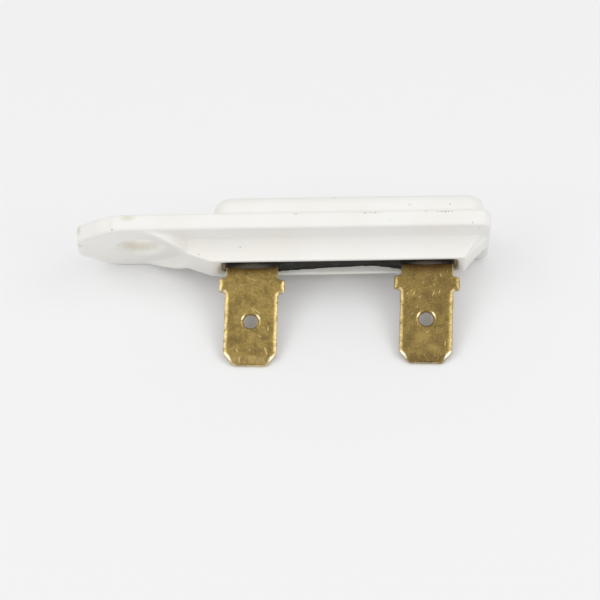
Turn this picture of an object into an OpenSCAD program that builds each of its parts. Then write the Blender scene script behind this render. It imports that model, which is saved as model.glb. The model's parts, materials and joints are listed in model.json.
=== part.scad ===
// One-shot thermal fuse: a pressed ceramic housing with a screw ear, two brass blade terminals set in
// potting compound, and a pellet cutoff cartridge joined to the terminals inside the housing.
// X runs along the plate from the ear, -Y is the way the terminals point, +Z is across the plate.
// The origin is the centre of the mounting hole on the plate's back face.

/* [Plate] */
// Width of the plate across the part
plate_w = 13.5; // [13:0.1:18]
// Thickness of the plate
plate_t = 2; // [1.6:0.1:3]
// Distance from the mounting hole to the end of the ear
ear_reach = 7.6; // [6.5:0.1:10]
// Leg of the 45 degree corners of the ear
ear_corner = 4; // [2:0.1:4.5]
// Radius where two sides of the plate meet
corner_r = 1.5; // [0.8:0.1:2]
// Radius along the pressed edges of the plate
edge_r = 0.4; // [0.2:0.05:0.6]

/* [Mounting hole] */
// Diameter of the mounting hole
hole_d = 5.4; // [4:0.1:6]
// Radius of the soft rim at the mouth of the hole
hole_rim_r = 0.5; // [0.2:0.05:0.8]

/* [Insulating collar] */
// Inner radius of the collar that stands around the screw head
collar_r = 5.5; // [4.5:0.1:5.8]
// Thickness of the collar
collar_t = 0.7; // [0.5:0.05:1]
// Where the collar starts to rise, measured along the plate from the hole
ramp_start = 0.4; // [-1:0.1:2]
// Distance from the collar to the slot
collar_to_slot = 2.9; // [1.5:0.1:4]

/* [Terminal block] */
// Height of the block above the plate
block_h = 2.85; // [2:0.05:4]
// Thickness of the block's walls
block_wall = 0.6; // [0.4:0.05:1]
// Width of the slot in the block
slot_w = 4.6; // [4.4:0.1:5.2]
// Length of the slot in the block
slot_len = 28.9; // [28.6:0.1:34]
// Radius of the slot's corners
slot_corner_r = 0.8; // [0.3:0.1:1.4]
// How far the slot's mouth opens out at its end by the ear
mouth_flare_near = 0.6; // [0.2:0.05:0.7]
// How far the slot's mouth opens out at its far end
mouth_flare_far = 0.25; // [0.1:0.05:0.3]
// How far the block's end wall leans out at its foot
block_end_lean = 1.9; // [0.5:0.1:2.5]
// Run of the gusset from the block's end to the end of the plate
gusset_run = 3.15; // [2.4:0.05:5]
// Width of the gusset
gusset_w = 4; // [2:0.1:5]

/* [Bulge] */
// Height of the heat-sensing bulge behind the plate
bulge_h = 2.3; // [1.8:0.05:4]
// Width of the bulge
bulge_w = 12.6; // [8:0.1:12.8]
// Length of the bulge
bulge_len = 32.25; // [30:0.05:33]
// Distance from the end of the bulge to the end of the plate
bulge_setback = 0.65; // [0.3:0.05:2]
// Radius of the bulge's corners as seen from behind
bulge_corner_r = 2.5; // [2:0.1:4]
// Radius along the bulge's rear edges
bulge_edge_r = 1.5; // [0.5:0.1:1.8]
// Thickness of the bulge's rear wall
bulge_wall = 0.7; // [0.5:0.05:1.2]

/* [Terminals] */
// Width of a terminal blade
blade_w = 6.35; // [4.75:0.05:6.35]
// Thickness of a terminal
blade_t = 0.8; // [0.5:0.05:1]
// Length of a blade from its shoulders to its tip
blade_len = 9.1; // [7.5:0.1:12]
// Distance from the slot's end to the middle of the first terminal
terminal_inset = 4.2; // [3.8:0.05:6]
// Distance between the two terminals
terminal_pitch = 20.9; // [19:0.1:22]
// Diameter of the detent hole in a blade
detent_d = 1.75; // [1:0.05:2]
// Diameter of the dimple around the detent hole
dimple_d = 2.3; // [2.1:0.05:3.4]
// Depth of the dimple on each face
dimple_t = 0.15; // [0.05:0.01:0.22]
// Distance from the detent hole to the tip
detent_from_tip = 5.45; // [4:0.05:6.5]
// Width across a terminal's shoulders
shoulder_w = 7.85; // [6.6:0.05:9]
// Height of the shoulders along the blade
shoulder_h = 1.65; // [1:0.05:2.5]
// Radius of the shoulders' corners
shoulder_r = 0.3; // [0.1:0.05:0.35]
// Radius of the fillet between the shoulders and the blade
root_r = 0.3; // [0.1:0.05:0.35]
// Radius of the fillet between the stem and the shoulders
stem_r = 0.3; // [0.1:0.05:0.35]
// Width of the stem below the shoulders
stem_w = 6.2; // [4:0.05:6.6]
// Length of the stem between the block and the shoulders
stem_rise = 1.4; // [0.8:0.1:3]
// How far the tip's corners are cut back across the blade
tip_cut_w = 1.2; // [0.5:0.1:1.5]
// How far the tip's corners are cut back along the blade
tip_cut_len = 1.4; // [1:0.1:2.5]
// Length of the bevel that thins the tip
tip_bevel_len = 1.2; // [0.6:0.1:2]
// Thickness left at the end of the tip
tip_t = 0.45; // [0.2:0.05:0.5]
// Width of the coined bevel along the edges of a blade and its shoulders
side_bevel_w = 0.45; // [0.2:0.05:0.8]
// Depth of the coined bevel along these edges
side_bevel_t = 0.16; // [0.05:0.01:0.22]
// Lean of both terminals towards the ear, in degrees
lean = 2.5; // [0:0.1:4]
// Length of the crimp barrel at a terminal's foot
barrel_len = 4; // [2.5:0.1:4.5]
// Wall of the crimp barrel
barrel_wall = 0.65; // [0.4:0.05:0.7]
// Opening left along the crimp barrel
barrel_split = 0.4; // [0.2:0.05:0.6]

/* [Potting] */
// Depth of the potting's surface below the rim of the slot
potting_recess = 0.4; // [0.2:0.05:1.2]
// How far the potting has sunk midway between the terminals
potting_sag = 0.5; // [0.1:0.05:0.8]
// How far the potting climbs each terminal
meniscus_h = 0.6; // [0.2:0.05:1]
// How far the potting's rise spreads from each terminal
meniscus_w = 0.7; // [0.2:0.05:1]

/* [Cutoff cartridge] */
// Outer diameter of the cutoff's case
case_d = 4; // [3.6:0.05:4.2]
// Wall of the case
case_wall = 0.25; // [0.2:0.01:0.35]
// Length of the case
case_len = 10.5; // [10:0.1:12.4]
// Thickness of the case's closed end
case_floor = 0.4; // [0.3:0.05:0.6]
// Diameter of the leads
lead_d = 1; // [0.8:0.05:1.1]
// Length of a lead past the middle of its terminal
lead_past = 2.3; // [1.5:0.1:2.4]
// Diameter of the rivet head that holds the case lead
rivet_d = 2; // [1.5:0.1:2.6]
// Thickness of the rivet head
rivet_t = 0.3; // [0.2:0.05:0.4]
// Length of the pellet that melts
pellet_len = 2.4; // [1.8:0.1:2.8]
// Thickness of the discs at each end of the barrel spring
disc_t = 0.2; // [0.1:0.05:0.25]
// Length of the barrel spring as it is held compressed
barrel_spring_len = 2.3; // [1.8:0.1:2.6]
// Number of turns of the barrel spring
barrel_spring_turns = 5; // [3:1:6]
// Number of turns of the trip spring
trip_spring_turns = 3; // [2:1:4]
// Wire diameter of both springs
spring_wire_d = 0.28; // [0.2:0.02:0.3]
// Thickness of the sliding star contact
star_t = 0.15; // [0.1:0.05:0.2]
// Number of fingers on the star contact
star_fingers = 8; // [6:1:10]
// Width of a finger of the star contact
finger_w = 0.85; // [0.5:0.05:0.9]
// Diameter of the star contact's plain middle
star_hub_d = 2.4; // [2:0.1:2.8]
// Thickness of the head on the isolated lead
contact_head_t = 0.4; // [0.3:0.05:0.5]
// Diameter of the head on the isolated lead
contact_head_d = 1.5; // [1.2:0.05:1.7]
// Length of the bushing's nose inside the trip spring
bushing_nose_len = 1.1; // [0.8:0.1:1.3]
// Length of the bushing's neck outside the case
bushing_neck_len = 0.6; // [0.4:0.1:0.8]
// Diameter of the bushing's neck
bushing_neck_d = 2.5; // [2:0.1:2.7]
// Length of the epoxy seal at the case's open end
seal_len = 1.5; // [1.2:0.1:1.8]

/* [Clearances] */
// Gap between the potting and what it surrounds
potting_gap = 0.03; // [0.02:0.01:0.05]
// Gap between pieces that seat on each other in the cutoff
seat_gap = 0.03; // [0.02:0.01:0.05]
// Gap between the case and the floor of the pocket
case_floor_gap = 0.1; // [0.08:0.01:0.2]

/* [Hidden] */
$fn = 48;

// Places along the plate
collar_outer_r = collar_r + collar_t;
slot_x0 = collar_outer_r + collar_to_slot;
slot_x1 = slot_x0 + slot_len;
throat_x0 = slot_x0 + mouth_flare_near;
throat_x1 = slot_x1 - mouth_flare_far;
block_end_x = slot_x1 + block_wall;
plate_end_x = block_end_x + gusset_run;
bulge_x1 = plate_end_x - bulge_setback;
bulge_x0 = bulge_x1 - bulge_len;
terminal_xs = [slot_x0 + terminal_inset, slot_x0 + terminal_inset + terminal_pitch];
terminal_mid_x = (terminal_xs[0] + terminal_xs[1]) / 2;

// Levels along Y, from the terminals' tips to the bulge
block_top_y = -(plate_t + block_h);
shoulder_y = block_top_y - stem_rise;
blade_root_y = shoulder_y - shoulder_h;
tip_y = blade_root_y - blade_len;
potting_y = block_top_y + potting_recess;
pocket_floor_y = bulge_h - bulge_wall;
case_y = pocket_floor_y - case_floor_gap - case_d / 2;
slot_floor_y = case_y - lead_d / 2;

// Sizes across the plate
block_w = slot_w + 2 * block_wall;

// Pocket under the slot that holds the cutoff and the crimp barrels
pocket_end_room = 0.5;
pocket_reach = max(barrel_len / 2, lead_past) + pocket_end_room;
pocket_x0 = terminal_xs[0] - pocket_reach;
pocket_x1 = terminal_xs[1] + pocket_reach;

// Stations along the cutoff, measured from the closed end of its case
case_x = terminal_mid_x - case_len / 2;
case_inner_r = case_d / 2 - case_wall;
pellet_at = case_floor + rivet_t + seat_gap;
pellet_disc_at = pellet_at + pellet_len + seat_gap;
barrel_spring_at = pellet_disc_at + disc_t + seat_gap;
spring_disc_at = barrel_spring_at + barrel_spring_len + seat_gap;
star_at = spring_disc_at + disc_t + seat_gap;
contact_at = star_at + star_t + seat_gap;
bushing_at = contact_at + contact_head_t + seat_gap;
bushing_shoulder_at = bushing_at + bushing_nose_len;
bushing_end_at = case_len - case_wall - seat_gap;
barrel_r = lead_d / 2 + seat_gap + barrel_wall;
bushing_nose_r = contact_head_d / 2 + case_wall;
bushing_neck_r = bushing_neck_d / 2;
slab_facets = 32;
edge_facets = 20;
dish_facets = 720;
spring_sides = 8;
spring_steps = 20;
full_turn = 360;
overlap = 0.5;

// Outline drawn in X and Z, raised from the level y_low up to y_high
module slab(y_low, y_high) {
    translate([0, y_high, 0]) rotate([90, 0, 0]) linear_extrude(y_high - y_low) children();
}

// Profile drawn in X and Y, made as wide as width across the plate
module across(width) {
    translate([0, 0, -width / 2]) linear_extrude(width) children();
}

// Rectangle with its corners rounded
module round_box(x0, x1, z0, z1, r) {
    translate([x0 + r, z0]) square([x1 - x0 - 2 * r, z1 - z0]);
    translate([x0, z0 + r]) square([x1 - x0, z1 - z0 - 2 * r]);
    for (x = [x0 + r, x1 - r], z = [z0 + r, z1 - r]) translate([x, z]) circle(r);
}

// Quarter disc in the corner that points to +u and, with up at 1, to +v, or with up at -1, to -v
module quarter_disc(r, up) {
    intersection() {
        circle(r);
        translate([0, up > 0 ? 0 : -r]) square(r);
    }
}

// Half section of a slab's rim: a strip of width r with its outer corners rounded
module rim_section(r, y_low, y_high, edge_low, edge_high) {
    translate([0, y_low + edge_low]) square([r, y_high - y_low - edge_low - edge_high]);
    if (edge_low > 0) {
        translate([0, y_low]) square([r - edge_low, edge_low]);
        translate([r - edge_low, y_low + edge_low]) quarter_disc(edge_low, -1);
    }
    if (edge_high > 0) {
        translate([0, y_high - edge_high]) square([r - edge_high, edge_high]);
        translate([r - edge_high, y_high - edge_high]) quarter_disc(edge_high, 1);
    }
}

// Slab with soft edges, stretched around discs at the centres of its outline's corner arcs
module soft_slab(centres, r, y_low, y_high, edge_low, edge_high) {
    hull() for (centre = centres) translate([centre[0], 0, centre[1]]) rotate([-90, 0, 0])
        rotate_extrude($fn = slab_facets)
            rim_section(r, y_low, y_high, edge_low, edge_high, $fn = edge_facets);
}

// Turned piece on the cutoff's axis, from a profile of radius and station
module turned(at = 0) {
    translate([case_x + at, case_y, 0]) rotate([0, 90, 0]) rotate_extrude() children();
}

// Plain round piece on the cutoff's axis
module round_bar(at, length, r) {
    translate([case_x + at, case_y, 0]) rotate([0, 90, 0]) cylinder(r = r, h = length);
}

// Plate with the screw ear, drawn through the centres of its corner arcs
module plate() {
    half = plate_w / 2 - corner_r;
    cut = ear_corner + corner_r * (sqrt(2) - 1);
    end_z = plate_w / 2 - cut;
    ear_x = -ear_reach + corner_r;
    side_x = -ear_reach + cut;
    far_x = plate_end_x - corner_r;
    corners = [[far_x, half], [side_x, half], [ear_x, end_z]];
    soft_slab([for (corner = corners, side = [-1, 1]) [corner[0], side * corner[1]]],
        corner_r, -plate_t, 0, edge_r, edge_r);
}

// Bulge that carries the cutoff close to the warm surface
module bulge() {
    half = bulge_w / 2 - bulge_corner_r;
    ends = [bulge_x0 + bulge_corner_r, bulge_x1 - bulge_corner_r];
    soft_slab([for (x = ends, z = [-half, half]) [x, z]],
        bulge_corner_r, -plate_t / 2, bulge_h, 0, bulge_edge_r);
}

// Side profile shared by the collar and the block: a ramp up from the ear, and a sloping far end
module raised_profile() {
    foot_y = -plate_t + overlap;
    ramp_end = slot_x0 - block_wall;
    ramp_slope = (ramp_end - ramp_start) / block_h;
    end_slope = block_end_lean / block_h;
    polygon([[ramp_start - overlap * ramp_slope, foot_y], [ramp_end, block_top_y],
        [block_end_x, block_top_y], [block_end_x + block_end_lean + overlap * end_slope, foot_y]]);
}

// Collar around the screw head and the walls of the terminal block
module collar_and_block() {
    intersection() {
        across(plate_w) raised_profile();
        slab(block_top_y, -plate_t / 2) {
            difference() {
                union() {
                    circle(collar_outer_r);
                    translate([0, -block_w / 2]) square([plate_end_x, block_w]);
                }
                circle(collar_r);
            }
        }
    }
}

// Gusset from the block's far end down to the end of the plate
module gusset() {
    root_x = block_end_x - block_wall / 2;
    toe_x = plate_end_x - edge_r;
    foot_y = -plate_t + edge_r;
    across(gusset_w) polygon([[root_x, block_top_y], [block_end_x, block_top_y], [toe_x, -plate_t],
        [toe_x, foot_y], [root_x, foot_y]]);
}

// Space inside the housing: the open slot, and the deeper pocket for the cutoff
module cavity(inset, top_y) {
    half = slot_w / 2 - inset;
    slab(top_y, slot_floor_y - inset)
        round_box(throat_x0 + inset, throat_x1 - inset, -half, half, slot_corner_r - inset);
    slab(slot_floor_y - inset - overlap, pocket_floor_y - inset)
        round_box(pocket_x0 + inset, pocket_x1 - inset, -half, half, slot_corner_r - inset);
}

// Mouth of the slot, whose ends slope down to the potting
module slot_mouth() {
    half = slot_w / 2;
    hull() {
        slab(block_top_y - overlap, block_top_y)
            round_box(slot_x0, slot_x1, -half, half, slot_corner_r);
        slab(potting_y - potting_gap, potting_y)
            round_box(throat_x0, throat_x1, -half, half, slot_corner_r);
    }
}

// Mounting hole with a soft rim at its mouth
module mounting_hole() {
    rotate([90, 0, 0]) translate([0, 0, -overlap]) cylinder(d = hole_d, h = plate_t + 2 * overlap);
    translate([0, -plate_t, 0]) rotate([-90, 0, 0]) rotate_extrude() difference() {
        translate([hole_d / 2 - overlap, -overlap]) square([hole_rim_r + overlap, hole_rim_r + overlap]);
        translate([hole_d / 2 + hole_rim_r, hole_rim_r]) circle(hole_rim_r);
    }
}

// Ceramic housing, pressed in one piece
module housing() {
    color("whitesmoke") difference() {
        union() {
            plate();
            bulge();
            collar_and_block();
            gusset();
        }
        cavity(0, block_top_y - overlap);
        slot_mouth();
        mounting_hole();
    }
}

// Outline of a terminal's blade, from the middle of its shoulders to its tip
module blade_outline(root_y) {
    half = blade_w / 2;
    polygon([[-half, root_y], [half, root_y], [half, tip_y + tip_cut_len], [half - tip_cut_w, tip_y],
        [tip_cut_w - half, tip_y], [-half, tip_y + tip_cut_len]]);
}

// Detent hole with a dimple pressed into both faces
module detent() {
    half_t = blade_t / 2;
    translate([0, tip_y + detent_from_tip, 0]) {
        cylinder(d = detent_d, h = 2 * blade_t, center = true);
        for (side = [0, 180]) rotate([side, 0, 0]) translate([0, 0, half_t - dimple_t])
            cylinder(d1 = detent_d, d2 = dimple_d, h = dimple_t);
    }
}

// Strip between two levels, coined thin along both of its sides
module coined(width, y_low, y_high) {
    half_w = width / 2;
    half_t = blade_t / 2;
    edge_t = half_t - side_bevel_t;
    face_w = half_w - side_bevel_w;
    translate([0, y_high, 0]) rotate([90, 0, 0]) linear_extrude(y_high - y_low)
        polygon([[-half_w, -edge_t], [-face_w, -half_t], [face_w, -half_t], [half_w, -edge_t],
            [half_w, edge_t], [face_w, half_t], [-face_w, half_t], [-half_w, edge_t]]);
}

// What the coining takes off along the cut corners of the tip, on both faces
module corner_bevels() {
    half_t = blade_t / 2;
    cut_angle = atan(tip_cut_w / tip_cut_len);
    cut_side = norm([tip_cut_w, tip_cut_len]);
    drop = overlap * side_bevel_t / side_bevel_w;
    for (side = [0, 1], face = [0, 1]) mirror([side, 0, 0]) mirror([0, 0, face])
        translate([blade_w / 2 - tip_cut_w, tip_y, 0]) rotate([0, 0, -cut_angle])
            translate([0, cut_side + overlap, 0]) rotate([90, 0, 0])
                linear_extrude(cut_side + 2 * overlap)
                    polygon([[-side_bevel_w, half_t], [overlap, half_t - side_bevel_t - drop],
                        [overlap, blade_t], [-side_bevel_w, blade_t]]);
}

// Blade with its thinned tip, coined sides and detent hole
module blade() {
    half_t = blade_t / 2;
    root_y = shoulder_y - shoulder_h / 2;
    difference() {
        intersection() {
            across(blade_t) blade_outline(root_y);
            coined(blade_w, tip_y, root_y);
            // Side view: thinned towards the tip
            translate([-blade_w / 2, 0, 0]) rotate([90, 0, 90]) linear_extrude(blade_w)
                polygon([[root_y, -half_t], [root_y, half_t], [tip_y + tip_bevel_len, half_t],
                    [tip_y, tip_t / 2], [tip_y, -tip_t / 2], [tip_y + tip_bevel_len, -half_t]]);
        }
        detent();
        corner_bevels();
    }
}

// Fillets in the two corners that a strip of that width makes with the shoulders at the level y
module corner_fillets(width, y, r, way) {
    for (side = [-1, 1]) translate([side * width / 2, y]) difference() {
        square(2 * r, center = true);
        translate([side * r, way * r]) circle(r);
    }
}

// Outline of the stem that passes into the potting, grown all round
module stem_outline(grow) {
    wide_end_y = block_top_y + plate_t;
    foot_y = case_y - lead_d / 2 - seat_gap - barrel_wall / 2;
    translate([-stem_w / 2 - grow, shoulder_y - shoulder_h / 2])
        square([stem_w + 2 * grow, wide_end_y + grow - shoulder_y + shoulder_h / 2]);
    translate([-barrel_len / 2 - grow, wide_end_y])
        square([barrel_len + 2 * grow, foot_y + grow - wide_end_y]);
}

// Shoulders with coined sides and the stem, with fillets where they meet and where the blade leaves
module shoulders_and_stem() {
    half_s = shoulder_w / 2;
    intersection() {
        across(blade_t) round_box(-half_s, half_s, blade_root_y, shoulder_y, shoulder_r);
        coined(shoulder_w, blade_root_y, shoulder_y);
    }
    across(blade_t) {
        stem_outline(0);
        corner_fillets(stem_w, shoulder_y, stem_r, 1);
    }
    across(blade_t - 2 * side_bevel_t) corner_fillets(blade_w, blade_root_y, root_r, -1);
}

// Crimp barrel closed around a lead, or the room that the barrel takes up
module barrel(x, grow) {
    translate([x - barrel_len / 2 - grow, case_y, 0]) rotate([0, 90, 0])
        cylinder(r = barrel_r + grow, h = barrel_len + 2 * grow);
}

// Leaning part of a terminal, turned about the point where it leaves the block
module leaning(x) {
    translate([x, block_top_y, 0]) rotate([0, 0, -lean]) translate([0, -block_top_y, 0]) children();
}

// Brass terminal: blade, shoulders, stem and crimp barrel in one piece
module terminal(x) {
    color("darkgoldenrod") difference() {
        union() {
            leaning(x) {
                blade();
                shoulders_and_stem();
            }
            barrel(x, 0);
        }
        translate([x - barrel_len, case_y, 0]) rotate([0, 90, 0])
            cylinder(d = lead_d + 2 * seat_gap, h = 2 * barrel_len);
        translate([x - barrel_len, case_y, -barrel_split / 2])
            cube([2 * barrel_len, barrel_r + overlap, barrel_split]);
    }
}

// Rise of the potting along both faces of a terminal
module meniscus(x) {
    low_y = potting_y + overlap;
    high_y = potting_y - meniscus_h;
    half_t = blade_t / 2;
    spread = half_t + meniscus_w;
    translate([x - stem_w / 2, 0, 0]) rotate([90, 0, 90]) linear_extrude(stem_w)
        polygon([[low_y, -spread], [potting_y, -spread], [high_y, -half_t],
            [high_y, half_t], [potting_y, spread], [low_y, spread]]);
}

// Dish left in the potting's surface where it sank between the terminals
module sunk_dish() {
    half_span = (terminal_pitch - stem_w) / 2;
    dish_r = (half_span * half_span + potting_sag * potting_sag) / (2 * potting_sag);
    across(slot_w) translate([terminal_mid_x, potting_y]) intersection() {
        translate([0, potting_sag - dish_r]) circle(dish_r, $fn = dish_facets);
        translate([-half_span, -potting_sag]) square([2 * half_span, 2 * potting_sag]);
    }
}

// Black potting compound that fills the slot and the pocket around everything inside
module potting() {
    c = potting_gap;
    color("#1b1b1b") difference() {
        union() {
            cavity(c, potting_y);
            for (x = terminal_xs) meniscus(x);
        }
        sunk_dish();
        for (x = terminal_xs) {
            leaning(x) across(blade_t + 2 * c) stem_outline(c);
            barrel(x, c);
        }
        round_bar(-c, case_len + 2 * c, case_d / 2 + c);
        turned() seal_profile(c);
        translate([terminal_xs[0] - lead_past - c, case_y, 0]) rotate([0, 90, 0])
            cylinder(r = lead_d / 2 + c, h = terminal_pitch + 2 * lead_past + 2 * c);
    }
}

// Case of the cutoff: a drawn cup with its open end rolled in over the bushing
module cutoff_case() {
    color("silver") turned() difference() {
        square([case_d / 2, case_len]);
        translate([0, case_floor]) square([case_inner_r, case_len - case_floor - case_wall]);
        square([lead_d / 2 + seat_gap, case_floor]);
        translate([0, case_len - case_wall]) square([bushing_neck_r + seat_gap, case_wall]);
    }
}

// Lead riveted through the closed end of the case
module case_lead() {
    color("gainsboro") {
        lead_from = terminal_xs[0] - lead_past - case_x;
        round_bar(lead_from, case_floor + seat_gap - lead_from + rivet_t / 2, lead_d / 2);
        round_bar(case_floor + seat_gap, rivet_t - seat_gap, rivet_d / 2);
    }
}

// Pellet that melts at the rated temperature
module thermal_pellet() {
    color("ivory") round_bar(pellet_at, pellet_len, case_inner_r - seat_gap);
}

// Disc between the pellet and the barrel spring
module pellet_disc() {
    color("tan") round_bar(pellet_disc_at, disc_t, case_inner_r - seat_gap);
}

// Disc between the barrel spring and the star contact
module spring_disc() {
    color("tan") round_bar(spring_disc_at, disc_t, case_inner_r - seat_gap);
}

// One ring of points around a spring's wire, at the turn angle a
function wire_ring(a, r, at, wire_r) = [for (k = [0 : spring_sides - 1])
    let (b = full_turn * k / spring_sides, reach = r + wire_r * cos(b))
        [at + wire_r * sin(b), reach * cos(a), reach * sin(a)]];

// Coil spring whose radius runs evenly from r0 to r1
module coil_spring(at, length, r0, r1, turns) {
    wire_r = spring_wire_d / 2;
    rings = turns * spring_steps;
    points = [for (i = [0 : rings])
        each wire_ring(full_turn * i / spring_steps, r0 + (r1 - r0) * i / rings,
            wire_r + (length - spring_wire_d) * i / rings, wire_r)];
    sides = [for (i = [0 : rings - 1], k = [0 : spring_sides - 1])
        let (a = i * spring_sides, n = (k + 1) % spring_sides)
            [a + k, a + n, a + spring_sides + n, a + spring_sides + k]];
    start = [[for (k = [spring_sides - 1 : -1 : 0]) k]];
    finish = [[for (k = [0 : spring_sides - 1]) rings * spring_sides + k]];
    translate([case_x + at, case_y, 0]) polyhedron(points, concat(sides, start, finish), convexity = 10);
}

// Spring that the solid pellet holds compressed
module barrel_spring() {
    r = case_inner_r - seat_gap - spring_wire_d;
    color("lightsteelblue") coil_spring(barrel_spring_at, barrel_spring_len, r, r, barrel_spring_turns);
}

// Weaker conical spring that pushes the star contact away once the pellet has melted
module trip_spring() {
    length = bushing_shoulder_at - seat_gap - contact_at;
    color("lightsteelblue") coil_spring(contact_at, length, case_inner_r - seat_gap - spring_wire_d,
        bushing_nose_r + seat_gap + spring_wire_d / 2, trip_spring_turns);
}

// Star contact whose fingers slide on the inside of the case
module star_contact() {
    color("gold") translate([case_x + star_at, case_y, 0]) rotate([0, 90, 0]) linear_extrude(star_t)
        intersection() {
            circle(case_inner_r - seat_gap);
            union() {
                circle(d = star_hub_d);
                for (i = [0 : star_fingers - 1]) rotate(full_turn * i / star_fingers)
                    translate([0, -finger_w / 2]) square([case_d, finger_w]);
            }
        }
}

// Ceramic bushing that keeps the isolated lead clear of the case
module ceramic_bushing() {
    bore_r = lead_d / 2 + seat_gap;
    end_at = case_len + bushing_neck_len;
    color("white") turned() polygon([[bore_r, bushing_at], [bushing_nose_r, bushing_at],
        [bushing_nose_r, bushing_shoulder_at], [case_inner_r - seat_gap, bushing_shoulder_at],
        [case_inner_r - seat_gap, bushing_end_at], [bushing_neck_r, bushing_end_at],
        [bushing_neck_r, end_at], [bore_r, end_at]]);
}

// Lead with a flat head that rests on the star contact
module isolated_lead() {
    color("gainsboro") {
        length = terminal_xs[1] + lead_past - case_x - contact_at;
        round_bar(contact_at, length, lead_d / 2);
        round_bar(contact_at, contact_head_t, contact_head_d / 2);
    }
}

// Section of the epoxy seal, grown by the gap of the potting around it
module seal_profile(grow) {
    foot = case_len + seat_gap;
    polygon([[0, foot], [case_d / 2 - case_wall + grow, foot],
        [lead_d / 2 + case_wall + grow, foot + seal_len + grow], [0, foot + seal_len + grow]]);
}

// Epoxy cone that seals the case's open end around the lead
module epoxy_seal() {
    color("peru") turned() difference() {
        seal_profile(0);
        square([lead_d / 2 + seat_gap, 2 * case_len]);
        square([bushing_neck_r + seat_gap, case_len + bushing_neck_len + seat_gap]);
    }
}

housing();
potting();
terminal(terminal_xs[0]);  // terminal_left
terminal(terminal_xs[1]);  // terminal_right
cutoff_case();
case_lead();
thermal_pellet();
pellet_disc();
barrel_spring();
spring_disc();
star_contact();
trip_spring();
ceramic_bushing();
isolated_lead();
epoxy_seal();
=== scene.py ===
"""Looks of a one-shot thermal fuse: a fired ceramic housing, cast potting and stamped brass blades."""

import json
import math

import bpy
import numpy as np
from bpy.props import FloatProperty, FloatVectorProperty, IntProperty, PointerProperty
from mathutils import Matrix, Vector, noise
from mathutils.bvhtree import BVHTree


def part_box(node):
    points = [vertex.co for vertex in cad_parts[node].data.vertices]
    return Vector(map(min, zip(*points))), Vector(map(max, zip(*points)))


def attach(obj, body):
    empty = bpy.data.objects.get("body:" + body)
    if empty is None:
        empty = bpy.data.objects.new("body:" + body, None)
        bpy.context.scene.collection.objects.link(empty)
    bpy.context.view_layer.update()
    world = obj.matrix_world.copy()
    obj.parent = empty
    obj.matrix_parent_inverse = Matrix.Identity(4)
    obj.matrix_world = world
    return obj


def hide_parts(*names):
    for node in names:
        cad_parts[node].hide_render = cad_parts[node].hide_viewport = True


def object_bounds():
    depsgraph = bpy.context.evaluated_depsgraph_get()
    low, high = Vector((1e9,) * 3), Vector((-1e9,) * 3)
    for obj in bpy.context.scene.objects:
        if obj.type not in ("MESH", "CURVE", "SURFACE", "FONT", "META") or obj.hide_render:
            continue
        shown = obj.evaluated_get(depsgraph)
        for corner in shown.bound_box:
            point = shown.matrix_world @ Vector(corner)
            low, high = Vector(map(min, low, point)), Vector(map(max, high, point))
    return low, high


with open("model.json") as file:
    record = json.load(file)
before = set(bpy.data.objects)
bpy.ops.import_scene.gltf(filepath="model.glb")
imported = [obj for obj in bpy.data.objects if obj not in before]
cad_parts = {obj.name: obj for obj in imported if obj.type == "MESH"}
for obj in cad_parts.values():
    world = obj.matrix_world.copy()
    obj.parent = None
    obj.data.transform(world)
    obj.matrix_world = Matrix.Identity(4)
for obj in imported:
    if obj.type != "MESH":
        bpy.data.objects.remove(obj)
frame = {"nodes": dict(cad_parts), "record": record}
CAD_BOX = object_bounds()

bl_info = {
    "name": "Thermal fuse looks",
    "version": (1, 0, 0),
    "blender": (4, 5, 0),
    "location": "View3D > Sidebar > Thermal fuse",
    "description": "Dresses a thermal fuse in fired ceramic, cast potting and stamped brass",
    "category": "Object",
}

MM = 0.001
BODY = "root"
PICTURE_SIZE = 600
MOUNTS = {mount["name"]: mount for mount in frame["record"]["mounts"]}

# Sockets of a Mix node that is set to colours
MIX_A, MIX_B, MIX_RESULT = 6, 7, 2

# Small dark specks in the ceramic: place in millimetres, and radius
CERAMIC_SPECKS = (
    ((-3.66, -1.85, 6.28), 0.22),
    ((-3.26, -1.85, 6.42), 0.19),
    ((-4.9, -2.0, 0.5), 0.09),
    ((-2.4, -2.0, -2.5), 0.08),
    ((7.0, -3.9, 2.9), 0.09),
    ((11.9, -3.1, 2.9), 0.10),
    ((8.1, -2.2, 2.9), 0.07),
    ((39.5, -1.7, 6.7), 0.10),
    ((40.3, -2.0, 5.7), 0.12),
    ((35.4, -0.3, 6.7), 0.09),
    ((35.9, -0.3, 6.7), 0.11),
    ((36.3, -0.3, 6.7), 0.13),
    ((36.7, -0.3, 6.7), 0.11),
    ((37.1, -0.3, 6.7), 0.09),
    ((36.9, 0.8, 6.3), 0.11),
    ((34.0, -0.2, 6.7), 0.11),
    ((28.0, -0.3, 6.7), 0.11),
    ((26.8, -0.3, 6.7), 0.12),
    ((34.6, -2.0, 4.2), 0.09),
    ((29.8, -1.3, 6.7), 0.09),
)

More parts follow.
